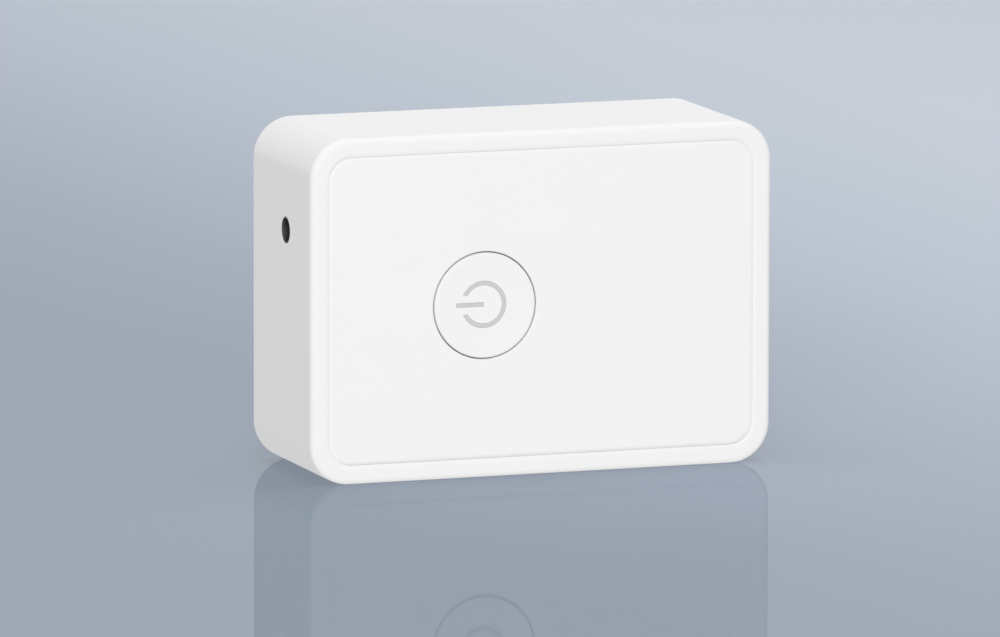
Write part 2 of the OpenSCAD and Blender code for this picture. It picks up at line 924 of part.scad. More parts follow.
// Pressed can, open to its board, which leaves the module's antenna end free
module shield(w, h) {
    y = board_front_y - module_t;
    end = h * shield_end_share;
    can_w = w - shield_margin * 2;
    can_h = h - shield_margin - end;
    translate([0, 0, -end / 2])
        difference() {
            can_block(can_w, can_h, y - shield_h, y, shield_corner);
            can_block(can_w - shield_wall * 2, can_h - shield_wall * 2,
                      y - shield_h + shield_wall, y + over, shield_corner - shield_wall);
        }
}

// A block with rounded upright corners
module can_block(w, h, y0, y1, r) {
    slab(y0, y1) {
        square([w - r * 2, h], center = true);
        square([w, h - r * 2], center = true);
        for (sx = [-1, 1], sz = [-1, 1])
            translate([sx * (w / 2 - r), sz * (h / 2 - r)])
                circle(r);
    }
}

// Pressed strip with two legs that stands along the board's edge
module antenna() {
    leg = antenna_l * antenna_leg_share;
    color(gold)
    translate([antenna_x + antenna_t / 2, board_front_y, mid_z - antenna_l / 2])
        rotate([0, -90, 0])
            linear_extrude(antenna_t)
                polygon([
                    [0, 0], [0, -antenna_h], [antenna_l, -antenna_h],
                    [antenna_l, -antenna_h + antenna_strip],
                    [leg + antenna_strip, -antenna_h + antenna_strip],
                    [leg + antenna_strip, 0], [leg, 0], [leg, -antenna_h + antenna_strip],
                    [antenna_strip, -antenna_h + antenna_strip], [antenna_strip, 0]
                ]);
}

// Flat legs along the two sides of a chip of width w
module chip_legs(w) {
    for (sx = [-1, 1], i = [0:leg_count - 1])
        at(sx * w / 2, (i - (leg_count - 1) / 2) * leg_pitch)
            chip(leg_l * 2, leg_w, board_front_y - leg_t, board_front_y);
}

module processor() {
    color(part_black)
    at(0, upper_row_z)
        chip(processor_w, processor_w, board_front_y - chip_t, board_front_y);
}

module memory_chip() {
    color(part_black)
    at(memory_x, mid_z)
        chip(memory_w, memory_h, board_front_y - chip_t, board_front_y);
}

module crystal() {
    color(metal)
    at(crystal_x, upper_row_z) {
        chip(crystal_w - crystal_h, crystal_h, board_front_y - crystal_t, board_front_y);
        for (sx = [-1, 1])
            at(sx * (crystal_w - crystal_h) / 2, 0)
                rod(board_front_y - crystal_t, board_front_y, crystal_h / 2);
    }
}

module regulator() {
    color(part_black)
    at(regulator_x, upper_row_z) {
        chip(regulator_w, regulator_h, board_front_y - regulator_t, board_front_y);
        chip_legs(regulator_w);
    }
}

// Wound drum between two square plates
module inductor() {
    y0 = board_front_y - inductor_t;
    color(part_black)
    at(inductor_x, lower_row_z) {
        chip(inductor_w, inductor_w, board_front_y - inductor_plate_t, board_front_y);
        chip(inductor_w, inductor_w, y0, y0 + inductor_plate_t);
        rod(y0 + inductor_plate_t / 2, board_front_y - inductor_plate_t / 2,
            inductor_w * inductor_drum_share);
    }
}

// Cans with a rolled neck, each on a square base
module capacitors() {
    base = capacitor_base_t;
    color(metal)
    for (i = [0:len(capacitor_d) - 1]) {
        r = capacitor_d[i] / 2;
        h = capacitor_h[i];
        at(capacitor_x, capacitor_z[i]) {
            chip(capacitor_base[i], capacitor_base[i], board_front_y - base, board_front_y);
            translate([0, board_front_y, 0])
                turned([
                    [0, -base / 2], [r - capacitor_neck, -base / 2],
                    [r - capacitor_neck, -base - capacitor_neck], [r, -base - capacitor_neck * 2],
                    [r, -h + capacitor_neck], [r - capacitor_neck, -h], [0, -h]
                ]);
        }
    }
}

module status_leds() {
    color(ceramic)
    at_button()
        for (i = [0:led_count - 1])
            rotate([0, i * 360 / led_count, 0])
                at(led_ring_r, 0)
                    chip(led_h, led_w, board_front_y - led_t, board_front_y);
}

module small_parts() {
    color(ceramic)
    for (place = small_column, i = [0:small_count - 1])
        at(place[0], place[1] + (i - (small_count - 1) / 2) * small_pitch)
            chip(small_w, small_h, board_front_y - small_t, board_front_y);
}

housing();
front_panel();
rear_cover();
corner_screws();
rubber_feet();
button_cap();
light_guide();
light_baffle();
main_board();
board_screws();
switch_base();
switch_cover();
switch_plunger();
switch_dome();
switch_terminals();
socket_eyelet();
jack_body();
jack_center_pin();
jack_side_contact();
wifi_board();
wifi_shield();
mesh_board();
mesh_shield();
antenna();
processor();
memory_chip();
regulator();
inductor();
capacitors();
crystal();
status_leds();
small_parts();
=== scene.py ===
import math

import bmesh
import bpy
from bpy.props import FloatProperty, FloatVectorProperty, IntProperty, PointerProperty
from bpy.types import Operator, Panel, PropertyGroup
from mathutils import Matrix, Vector


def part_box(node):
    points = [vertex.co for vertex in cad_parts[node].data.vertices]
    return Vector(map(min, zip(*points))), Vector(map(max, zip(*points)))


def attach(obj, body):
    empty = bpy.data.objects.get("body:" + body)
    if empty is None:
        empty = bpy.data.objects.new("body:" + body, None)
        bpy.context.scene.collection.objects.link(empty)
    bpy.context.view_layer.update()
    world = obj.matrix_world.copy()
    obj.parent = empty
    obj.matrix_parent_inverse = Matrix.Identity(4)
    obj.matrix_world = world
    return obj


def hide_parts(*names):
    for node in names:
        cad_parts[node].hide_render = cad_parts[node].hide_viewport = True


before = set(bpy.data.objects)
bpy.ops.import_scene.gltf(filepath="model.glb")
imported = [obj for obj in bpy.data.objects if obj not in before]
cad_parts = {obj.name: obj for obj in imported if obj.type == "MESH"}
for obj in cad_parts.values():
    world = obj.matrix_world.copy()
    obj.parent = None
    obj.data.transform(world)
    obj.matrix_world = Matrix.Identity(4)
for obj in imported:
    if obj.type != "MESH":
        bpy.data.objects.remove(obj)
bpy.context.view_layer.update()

bl_info = {
    "name": "Home hub",
    "version": (1, 0, 0),
    "blender": (4, 5, 0),
    "location": "View3D > Sidebar > Home hub",
    "description": "Dresses the hub's solids with moulded shells, finishes and a studio",
    "category": "Object",
}

# Corners and planes of the solids that the new pieces stand for
SLEEVE_LOW, SLEEVE_HIGH = (Vector(corner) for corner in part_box("housing"))
CAP_LOW, CAP_HIGH = (Vector(corner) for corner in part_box("button_cap"))
GUIDE_LOW, GUIDE_HIGH = (Vector(corner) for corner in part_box("light_guide"))
FEET_LOW, FEET_HIGH = (Vector(corner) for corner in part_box("rubber_feet"))
BOARD_LOW, BOARD_HIGH = (Vector(corner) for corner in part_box("main_board"))
COVER_LOW, COVER_HIGH = (Vector(corner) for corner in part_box("rear_cover"))
JACK_LOW, JACK_HIGH = (Vector(corner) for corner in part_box("jack_body"))
EYELET_LOW, EYELET_HIGH = (Vector(corner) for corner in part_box("socket_eyelet"))

WIDTH = SLEEVE_HIGH.x - SLEEVE_LOW.x
HEIGHT = SLEEVE_HIGH.z - SLEEVE_LOW.z
FRONT = SLEEVE_LOW.y
REAR = SLEEVE_HIGH.y
MIDDLE = (SLEEVE_LOW.z + SLEEVE_HIGH.z) / 2
BUTTON_X = (GUIDE_LOW.x + GUIDE_HIGH.x) / 2
CORNERS = [(side, up) for side in (-1, 1) for up in (-1, 1)]
MM = 0.001

# Steps in a rounded corner, and points in every loop that is bridged
CORNER_STEPS = 23
LOOP_POINTS = 4 * (CORNER_STEPS + 1)
SHARP = math.radians(32)
FLAT = 0.015 * MM  # loops nearer than this in depth are filled, because a bridge would twist

# How far a cutting tool stands past its piece
OVERRUN = 1.0 * MM

# How deep ribs (ROOT) and tabs and stakes (DEEP_ROOT) reach into their carriers, and their edges
ROOT, DEEP_ROOT = 0.2 * MM, 0.4 * MM
EDGE = 0.1 * MM


def size(title, text, millimetres):
    """A length property, given in millimetres and kept in metres."""
    return FloatProperty(name=title, description=text, default=millimetres * MM,
                         min=0.0, soft_max=0.2, precision=5, unit='LENGTH', subtype='DISTANCE')


def shade(title, text, colour):
    """A linear colour property."""
    return FloatVectorProperty(name=title, description=text, default=colour,
                               min=0.0, max=1.0, size=3, subtype='COLOR')


class ShellSizes(PropertyGroup):
    corner: size("Corner", "Radius of the four long corners", 6.0)
    front_edge: size("Front edge", "Rounding of the sleeve's front edge", 0.95)
    rear_edge: size("Rear edge", "Rounding of the sleeve's rear edge", 0.5)
    rim: size("Rim", "Width of the rim round the front panel", 2.85)
    rear_rim: size("Rear rim", "Width of the rim round the rear cover", 1.0)
    rear_bevel: size("Rear bevel", "Bevel round the rear opening", 0.12)
    cover_recess: size("Cover recess", "Depth of the recess that takes the rear cover", 2.0)
    wall: size("Wall", "Thickness of the side walls", 1.8)
    lip: size("Lip", "Depth of the lip in front of the panel's flange", 1.8)
    opening_corner: size("Opening corner", "Corner radius of the front opening", 3.6)
    seam: size("Seam", "Gap between the rim and the front panel", 0.012)
    low_groove: size("Bottom groove", "Extra depth of the panel's side of the groove below", 0.22)
    high_groove: size("Top groove", "Extra depth of the rim's side of the groove above", 0.14)
    groove_width: size("Groove", "Width of each soft side of the seam's groove", 0.6)
    groove_depth: size("Groove depth", "Depth of the seam's groove", 0.18)
    panel: size("Panel", "Thickness of the front panel", 2.0)
    flange: size("Flange", "Thickness of the flange behind the lip", 1.5)
    flange_width: size("Flange width", "Width of the flange behind the lip", 2.6)
    fit: size("Fit", "Gap between the sleeve and the flange", 0.2)
    rib: size("Rib", "Height of the ribs behind the panel", 2.5)
    rib_width: size("Rib width", "Width of the ribs behind the panel", 1.0)
    collar_gap: size("Collar gap", "Gap between the collar and the cap's tabs", 0.3)
    collar: size("Collar", "Wall of the collar behind the panel", 1.0)
    guide_rib: size("Guide rib", "Width of the ribs inside the sleeve", 1.2)
    guide_rib_height: size("Guide rib height", "Height of the ribs inside the sleeve", 1.5)
    socket_hole: size("Socket hole", "Diameter of the hole for the power plug", 4.0)
    hole_bevel: size("Hole bevel", "Bevel round the socket's hole", 0.05)
    socket_bore: size("Socket bore", "Diameter of the eyelet's bore", 3.6)
    socket_lift: size("Socket axis", "Distance of the socket's axis from the board", 3.0)
    screw_inset: size("Screw inset", "Distance of the corner screws from the sides", 6.8)
    boss: size("Boss", "Diameter of the corner bosses", 6.8)
    boss_bore: size("Boss bore", "Diameter of the corner bosses' bores", 2.6)
    boss_gap: size("Boss gap", "Gap between the corner bosses and the rear cover's tubes", 0.05)
    small_boss: size("Board boss", "Diameter of the bosses that carry the board", 5.0)
    small_bore: size("Board boss bore", "Diameter of those bosses' bores", 2.0)
    board_screw_x: size("Board screws in", "Inset of the board's screws from the sides", 15.2)
    board_screw_z: size("Board screws up", "Inset of the board's screws from top and bottom", 8.2)


class ButtonSizes(PropertyGroup):
    across: size("Cap", "Diameter of the cap", 15.7)
    gap: size("Gap", "Gap round the cap", 0.15)
    cap: size("Cap wall", "Thickness of the cap's face", 1.6)
    skirt: size("Skirt", "Thickness of the cap's side wall", 1.0)
    flange: size("Flange", "Thickness of the flange behind the cap", 0.8)
    tab: size("Tab", "Width of the two tabs that aim the cap", 3.0)
    dish: size("Dish", "Depth of the shallow dish", 0.15)
    edge: size("Edge", "Rounding of the edges along the gap", 0.3)
    symbol: size("Symbol", "Outer diameter of the ring", 6.95)
    symbol_left: size("Symbol left", "Offset of the symbol to the left of the cap's centre", 0.18)
    symbol_up: size("Symbol up", "Offset of the symbol above the cap's centre", 0.14)
    stroke: size("Stroke", "Width of the ring's line", 0.60)
    opening: size("Opening", "Opening of the ring", 2.9)
    bar: size("Bar", "Length of the bar from the centre", 4.25)
    bar_stroke: size("Bar stroke", "Width of the bar's line", 0.57)
    play: size("Play", "Gap round the symbol in its cut", 0.03)
    disc: size("Guide disc", "Thickness of the disc of the light guide", 0.9)
    disc_gap: size("Disc gap", "Gap between that disc and the cap's side wall", 0.1)
    post: size("Guide post", "Diameter of the post of the light guide", 3.2)
    stake: size("Stake", "Diameter of the three stakes behind the cap", 1.2)
    stake_length: size("Stake length", "Length of the stakes behind the cap's face", 1.2)
    stake_hole: size("Stake hole", "Diameter of the holes for the stakes", 1.3)
    steps: IntProperty(name="Rings", description="Rings of faces across the dish",
                       default=14, min=4, max=40)


class Finishes(PropertyGroup):
    white: shade("White", "Moulded shell", (0.875, 0.875, 0.879))
    grey: shade("Grey", "Light guide", (0.60, 0.60, 0.61))
    rubber: shade("Rubber", "Feet", (0.05, 0.05, 0.055))
    black: shade("Black", "Moulded nylon", (0.014, 0.014, 0.016))
    resist: shade("Solder resist", "Circuit boards", (0.012, 0.10, 0.045))
    resin: shade("Resin", "Moulded chips", (0.022, 0.022, 0.025))
    fired: shade("Fired clay", "Small ceramic parts", (0.45, 0.36, 0.25))
    blackened: shade("Blackened", "Eyelet in the socket's hole", (0.17, 0.17, 0.175))
    zinc: shade("Zinc", "Screws", (0.55, 0.55, 0.57))
    tin: shade("Tin", "Pressed sheet and terminals", (0.62, 0.62, 0.63))
    gilt: shade("Gilt", "Antenna", (0.75, 0.55, 0.22))


class StudioSettings(PropertyGroup):
    azimuth: FloatProperty(name="Azimuth", description="Direction of the camera round the hub",
                           default=math.radians(-19.7), subtype='ANGLE', unit='ROTATION')
    elevation: FloatProperty(name="Elevation", description="Height angle of the camera",
                             default=math.radians(8.61), subtype='ANGLE', unit='ROTATION')
    roll: FloatProperty(name="Roll", description="Tilt of the picture",
                        default=math.radians(0.13), subtype='ANGLE', unit='ROTATION')
    distance: FloatProperty(name="Distance", description="Camera to the middle of the hub",
                            default=1.737, min=0.5, unit='LENGTH', subtype='DISTANCE')
    lens: FloatProperty(name="Lens", description="Focal length for a 36 mm sensor",
                        default=421.6, min=50.0, unit='CAMERA')
    shift: FloatVectorProperty(name="Shift", description="Framing, in shares of the width",
                               default=(-0.01185, -0.0291), size=2)
    horizon: shade("Backdrop", "Colour behind the hub", (0.591, 0.623, 0.708))
    sky: FloatProperty(name="Sky", description="Even light from all sides", default=0.43, min=0.0)
    gloss_sky: FloatProperty(name="Sky in gloss", description="Light that reflections show",
                             default=1.2, min=0.0)
    bounce: FloatProperty(name="Bounce", description="Light that the floor throws back on the hub",
                          default=0.70, min=0.0)
    key: FloatProperty(name="Key", description="Power of the front lamp", default=14.2,
                       min=0.0, unit='POWER')
    top: FloatProperty(name="Top", description="Power of the overhead lamp", default=6.4,
                       min=0.0, unit='POWER')


# Mesh helpers

def lay_down(bm, points, x, y, z):
    """Turns a flat shape drawn in XY to stand in XZ, at a place."""
    bmesh.ops.rotate(bm, verts=points, cent=(0, 0, 0), matrix=Matrix.Rotation(math.pi / 2, 3, 'X'))
    bmesh.ops.translate(bm, verts=points, vec=(x, y, z))


def frame_loop(bm, inset, radius, y):
    """Adds the sleeve's outline at a depth, drawn in by an inset, as a loop of edges."""
    kept = set(bm.faces)
    made = bmesh.ops.create_grid(bm, x_segments=1, y_segments=1, size=0.5)["verts"]
    bmesh.ops.scale(bm, verts=made, vec=(WIDTH - 2 * inset, HEIGHT - 2 * inset, 1))
    lay_down(bm, made, 0, y, MIDDLE)
    bmesh.ops.bevel(bm, geom=made, affect='VERTICES', offset=radius, offset_type='OFFSET',
                    segments=CORNER_STEPS, profile=0.5, material=-1)
    face = (set(bm.faces) - kept).pop()
    edges = list(face.edges)
    bmesh.ops.delete(bm, geom=[face], context='FACES_ONLY')
    return edges


def sink(bm, edges, side, depth, reach):
    """Moves the top (side 1) or bottom (side -1) of a loop of edges back, and its corners less."""
    points = {point for edge in edges for point in edge.verts}
    end = max(side * point.co.z for point in points)
    for point in points:
        share = max(0.0, 1 - (end - side * point.co.z) / reach) ** 2
        bmesh.ops.translate(bm, verts=[point], vec=(0, depth * share, 0))
    return edges


def ring_loop(bm, x, z, radius, y):
    """Adds a circle that faces the front, as a loop of edges."""
    made = bmesh.ops.create_circle(bm, cap_ends=False, radius=radius, segments=LOOP_POINTS)["verts"]
    bmesh.ops.rotate(bm, verts=made, cent=(0, 0, 0),
                     matrix=Matrix.Rotation(math.pi / LOOP_POINTS, 3, 'Z'))
    lay_down(bm, made, x, y, z)
    return list({edge for point in made for edge in point.link_edges})


def loft(bm, loops):
    """Bridges loops of edges in order, and the last to the first."""
    for first, second in zip(loops, loops[1:] + loops[:1]):
        if abs(first[0].verts[0].co.y - second[0].verts[0].co.y) < FLAT:
            bmesh.ops.triangle_fill(bm, use_beauty=True, use_dissolve=False, edges=first + second)
        else:
            bmesh.ops.bridge_loops(bm, edges=first + second)


def turned(bm, profile, x, z, closed=False, steps=LOOP_POINTS):
    """Turns a half profile of (radius, depth) points round the depth axis at x, z."""
    points = [bm.verts.new((radius, depth, 0)) for radius, depth in profile]
    lines = [bm.edges.new(pair) for pair in zip(points, points[1:])]
    if closed:
        lines.append(bm.edges.new((points[-1], points[0])))
    kept = set(bm.verts) - set(points)
    bmesh.ops.spin(bm, geom=points + lines, cent=(0, 0, 0), axis=(0, 1, 0), angle=2 * math.pi,
                   steps=steps, use_merge=True)
    made = [point for point in bm.verts if point not in kept]
    bmesh.ops.remove_doubles(bm, verts=made, dist=1e-6)
    made = [point for point in bm.verts if point not in kept]
    bmesh.ops.translate(bm, verts=made, vec=(x, 0, z))


def turn_to_side(bm, x, y, z):
    """Turns what was spun round the depth axis to point in from the left wall, at a place."""
    bmesh.ops.rotate(bm, verts=bm.verts, cent=(0, 0, 0),
                     matrix=Matrix.Rotation(-math.pi / 2, 3, 'Z'))
    bmesh.ops.translate(bm, verts=bm.verts, vec=(x, y, z))


def block(bm, low, high, edge=0.0):
    """Adds a block between two corners, with its edges rounded."""
    middle = (Vector(low) + Vector(high)) / 2
    made = bmesh.ops.create_cube(bm, size=1.0)["verts"]
    bmesh.ops.scale(bm, verts=made, vec=Vector(high) - Vector(low))
    bmesh.ops.translate(bm, verts=made, vec=middle)
    if edge:
        sides = list({line for point in made for line in point.link_edges})
        bmesh.ops.bevel(bm, geom=sides, affect='EDGES', offset=edge, offset_type='OFFSET',
                        segments=3, profile=0.5, material=-1)


def arc(start, width, depth, angles):
    """Points of a rounded edge as (inset, depth), round a corner at start."""
    return [(start[0] + width * (1 - math.sin(angle)), start[1] + depth * (1 - math.cos(angle)))
            for angle in angles]


def quarter(steps):
    """Angles of a quarter turn."""
    return [math.pi / 2 * step / steps for step in range(steps + 1)]


def soft_side(inset, width, depth, steps=4):
    """Points of a groove's side as (inset, depth), from its flat start to the seam at inset."""
    return [(inset + width * (1 - step / steps), FRONT + depth * (step / steps) ** 2)
            for step in range(steps + 1)]


def as_piece(bm, name):
    """Makes an object of a bmesh, with its faces pointing outwards."""
    bmesh.ops.recalc_face_normals(bm, faces=bm.faces)
    mesh = bpy.data.meshes.new(name)
    bm.to_mesh(mesh)
    bm.free()
    piece = bpy.data.objects.new(name, mesh)
    bpy.context.scene.collection.objects.link(piece)
    return piece


def cut(piece, tool, operation='DIFFERENCE'):
    """Cuts a piece with another, which is used up."""
    change = piece.modifiers.new("Cut", 'BOOLEAN')
    change.operation = operation
    change.solver = 'EXACT'
    change.object = tool
    bpy.context.view_layer.update()
    ready = piece.evaluated_get(bpy.context.evaluated_depsgraph_get())
    shape = bpy.data.meshes.new_from_object(ready)
    piece.modifiers.clear()
    piece.data = shape
    bpy.data.objects.remove(tool)


def join(piece, other):
    """Adds the faces of another object to a piece."""
    bm = bmesh.new()
    bm.from_mesh(piece.data)
    bm.from_mesh(other.data)
    bm.to_mesh(piece.data)
    bm.free()
    bpy.data.objects.remove(other)


def finish_piece(piece, body, nodes, material, edge=0.0):
    """Shades a piece, gives it its finish, hangs it on its body's empty and hides the solids that
    it stands for.
    """
    piece.data.materials.clear()
    piece.data.materials.append(material)
    piece.data.shade_smooth()
    piece.data.set_sharp_from_angle(angle=SHARP)
    if edge:
        rounding = piece.modifiers.new("Rounding", 'BEVEL')
        rounding.width = edge
        rounding.segments = 2
        rounding.limit_method = 'ANGLE'
        rounding.angle_limit = math.radians(40)
        rounding.use_clamp_overlap = True
        rounding.harden_normals = False
    even = piece.modifiers.new("Even normals", 'WEIGHTED_NORMAL')
    even.mode = 'FACE_AREA'
    even.keep_sharp = True
    even.weight = 80
    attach(piece, body)
    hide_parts(*nodes)


# Material helpers

class Wire:
    """An output socket that can be worked with in Python expressions."""

    def __init__(self, sheet, socket):
        self.sheet = sheet
        self.socket = socket

    def step(self, operation, first, second):
        return self.sheet.node("ShaderNodeMath", {"operation": operation}, {0: first, 1: second})

    def __add__(self, other):
        return self.step('ADD', self, other)

    def __radd__(self, other):
        return self.step('ADD', other, self)

    def __sub__(self, other):
        return self.step('SUBTRACT', self, other)

    def __rsub__(self, other):
        return self.step('SUBTRACT', other, self)

    def __mul__(self, other):
        return self.step('MULTIPLY', self, other)

    def __rmul__(self, other):
        return self.step('MULTIPLY', other, self)

    def sibling(self, name):
        """Another output of the same node."""
        return Wire(self.sheet, self.socket.node.outputs[name])


class Sheet:
    """A node tree to which nodes are added one by one."""

    def __init__(self, tree):
        self.tree = tree
        tree.nodes.clear()

    def node(self, kind, settings=None, sockets=None, output=0):
        """Adds a node: its settings first, then the values or links of its sockets."""
        made = self.tree.nodes.new(kind)
        for name, value in (settings or {}).items():
            if name == "stops":
                steps = made.color_ramp.elements
                while len(steps) < len(value):
                    steps.new(1.0)
                for step, (place, colour) in zip(steps, value):
                    step.position = place
                    step.color = (*colour, 1.0)
            else:
                setattr(made, name, value)
        for name, value in (sockets or {}).items():
            if isinstance(value, Wire):
                self.tree.links.new(value.socket, made.inputs[name])
            else:
                made.inputs[name].default_value = value
        return Wire(self, made.outputs[output]) if made.outputs else None

    def place(self, scale=(1, 1, 1)):
        """Object coordinates in metres, stretched by a scale."""
        where = self.node("ShaderNodeTexCoord", output="Object")
        return self.node("ShaderNodeMapping", None, {"Vector": where, "Scale": scale})

    def noise(self, size_m, detail=2.0, where=None):
        """Noise whose grains are about a size across."""
        return self.node("ShaderNodeTexNoise", None,
                         {"Vector": where or self.place(), "Scale": 1.0 / size_m, "Detail": detail})

    def blend(self, factor, first, second):
        """A mix of two colours."""
        return self.node("ShaderNodeMix", {"data_type": 'RGBA'},
                         {"Factor": factor, 6: first, 7: second}, output=2)


def rgba(colour, share=1.0):
    """A colour as four numbers, made darker or lighter by a share."""
    return (*(min(1.0, part * share) for part in colour), 1.0)


def material(name, colour, roughness, **values):
    """Starts a material; the colour and roughness may be wires."""
    made = bpy.data.materials.new(name)
    made.use_nodes = True
    sheet = Sheet(made.node_tree)
    colour = colour(sheet) if callable(colour) else colour
    roughness = roughness(sheet) if callable(roughness) else roughness
    sockets = {"Base Color": colour, "Roughness": roughness}
    bump = values.pop("bump", None)
    if bump:
        height, depth, strength = bump
        sockets["Normal"] = sheet.node("ShaderNodeBump", None, {
            "Height": height(sheet), "Distance": depth, "Strength": strength})
    sockets.update({key.replace("_", " "): value for key, value in values.items()})
    surface = sheet.node("ShaderNodeBsdfPrincipled", None, sockets)
    sheet.node("ShaderNodeOutputMaterial", None, {"Surface": surface})
    return made


def shell_finish(colour):
    """White plastic moulded in a fine spark-eroded tool."""
    return material(
        "moulded_white",
        lambda s: s.blend(s.noise(0.011, 3.0), rgba(colour, 0.992), rgba(colour, 1.006)),
        lambda s: 0.37 + (s.noise(0.0003, 2.0) - 0.5) * 0.10 + (s.noise(0.016) - 0.5) * 0.04,
        bump=(lambda s: s.noise(0.00026, 3.0) * 0.8 + s.noise(0.006, 1.0) * 1.2, 0.000012, 0.35))


def guide_finish(colour):
    """Milky grey plastic that fills the symbol."""
    return material(
        "milky_guide",
        lambda s: s.blend(s.noise(0.0015, 2.0), rgba(colour, 0.985), rgba(colour, 1.012)),
        lambda s: 0.34 + (s.noise(0.0004) - 0.5) * 0.08,
        bump=(lambda s: s.noise(0.0004, 2.0), 0.000008, 0.25))


def rubber_finish(colour):
    """Dull rubber with a fine matt skin and a little dust in it."""
    return material(
        "foot_rubber",
        lambda s: s.blend(s.noise(0.0007, 4.0), rgba(colour, 0.8), rgba(colour, 1.35)),
        lambda s: 0.72 + (s.noise(0.001) - 0.5) * 0.16,
        bump=(lambda s: s.noise(0.0002, 4.0), 0.00003, 0.6))


def nylon_finish(colour):
    """Black nylon with short glass fibres that show as fine streaks."""
    return material(
        "black_nylon",
        lambda s: s.blend(s.noise(0.0006, 4.0, s.place((1, 4, 1))),
                          rgba(colour, 0.7), rgba(colour, 1.8)),
        lambda s: 0.46 + (s.noise(0.0005) - 0.5) * 0.2,
        bump=(lambda s: s.noise(0.0003, 3.0, s.place((1, 3, 1))), 0.00002, 0.4))


def board_finish(colour):
    """Solder resist over tracks that run along the board and show as low, paler lines."""
    def tracks(s):
        return s.node("ShaderNodeTexBrick", None, {
            "Vector": s.node("ShaderNodeMapping", None, {
                "Vector": s.node("ShaderNodeTexCoord", output="Object"),
                "Rotation": (math.pi / 2, 0, 0)}),
            "Scale": 900.0, "Mortar Size": 0.06, "Mortar Smooth": 0.3,
            "Color1": (0, 0, 0, 1), "Color2": (0.25, 0.25, 0.25, 1), "Mortar": (1, 1, 1, 1)})

    return material(
        "solder_resist",
        lambda s: s.blend(tracks(s), rgba(colour, 0.8), rgba(colour, 1.7)),
        lambda s: 0.28 + s.noise(0.002) * 0.12,
        bump=(tracks, 0.00003, 0.5), Coat_Weight=0.3, Coat_Roughness=0.15)


def metal_finish(name, colour, roughness, grain):
    """Plated metal, drawn along one direction."""
    return material(
        name,
        lambda s: s.blend(s.noise(0.002, 3.0), rgba(colour, 0.9), rgba(colour, 1.08)),
        lambda s: roughness + (s.noise(0.0004, 3.0, s.place(grain)) - 0.5) * 0.22,
        bump=(lambda s: s.noise(0.0003, 3.0, s.place(grain)), 0.00001, 0.3), Metallic=1.0)


def resin_finish(colour):
    """Black chip resin with a sand-blasted face."""
    return material(
        "chip_resin",
        lambda s: s.blend(s.noise(0.0002, 3.0), rgba(colour, 0.75), rgba(colour, 1.5)),
        lambda s: 0.5 + (s.noise(0.0003) - 0.5) * 0.15,
        bump=(lambda s: s.noise(0.00015, 3.0), 0.00002, 0.5))


def fired_finish(colour):
    """Fired ceramic with darker grains."""
    return material(
        "fired_ceramic",
        lambda s: s.blend(s.noise(0.00025, 4.0), rgba(colour, 0.82), rgba(colour, 1.15)),
        lambda s: 0.4 + (s.noise(0.0003) - 0.5) * 0.1,
        bump=(lambda s: s.noise(0.0002, 2.0), 0.00001, 0.3))


def white():
    """The shell's material, made once and shared by every moulded part of the shell."""
    ready = bpy.data.materials.get("moulded_white")
    return ready or shell_finish(bpy.context.scene.hub_finishes.white)


# Operators

class HUB_OT_sleeve(Operator):
    """Models the one-piece sleeve with its rims, lip, ribs and socket hole"""
    bl_idname = "hub.sleeve"
    bl_label = "Sleeve"

    def execute(self, context):
        s = context.scene.hub_shell
        cover_seat = COVER_HIGH.y - s.cover_recess
        outer = arc((0, FRONT), s.front_edge, s.front_edge, quarter(8))
        outer += reversed(arc((0, REAR), s.rear_edge, -s.rear_edge, quarter(5)))
        outer += [(s.rear_rim - s.rear_bevel, REAR), (s.rear_rim, REAR - s.rear_bevel),
                  (s.rear_rim, cover_seat), (s.wall, cover_seat), (s.wall, FRONT + s.lip)]
        bm = bmesh.new()
        loops = [frame_loop(bm, inset, s.corner - inset, depth) for inset, depth in outer]
        loops.append(frame_loop(bm, s.rim, s.opening_corner, FRONT + s.lip))
        for inset, depth in reversed(soft_side(s.rim, -s.groove_width, s.groove_depth)):
            edges = frame_loop(bm, inset, s.opening_corner + s.rim - inset, depth)
            share = math.sqrt((depth - FRONT) / s.groove_depth)
            loops.append(sink(bm, edges, 1, share * s.high_groove, s.opening_corner))
        loft(bm, loops)
        sleeve = as_piece(bm, "sleeve")

        hole = s.socket_hole / 2
        flare = hole + 0.9 * OVERRUN
        end = s.wall + OVERRUN / 2
        bm = bmesh.new()
        turned(bm, [(0, -OVERRUN), (flare, -OVERRUN), (hole + s.hole_bevel, 0),
                    (hole, s.hole_bevel), (hole, end), (0, end)], 0, 0)
        turn_to_side(bm, SLEEVE_LOW.x, BOARD_LOW.y - s.socket_lift, (JACK_LOW.z + JACK_HIGH.z) / 2)
        cut(sleeve, as_piece(bm, "hole_tool"))

        rib_share, rib_gap, rib_edge = 0.36, 0.3 * MM, 0.15 * MM
        half = Vector((s.guide_rib, 0, s.guide_rib_height)) / 2
        start = FRONT + s.lip + s.flange + rib_gap
        bm = bmesh.new()
        for side, up in CORNERS:
            x = side * BOARD_HIGH.x * rib_share
            z = MIDDLE + up * (HEIGHT / 2 - s.wall)
            block(bm, Vector((x, start, z)) - half, Vector((x, cover_seat, z)) + half, rib_edge)
        join(sleeve, as_piece(bm, "sleeve_ribs"))
        finish_piece(sleeve, "hub", ["housing"], white())
        return {'FINISHED'}


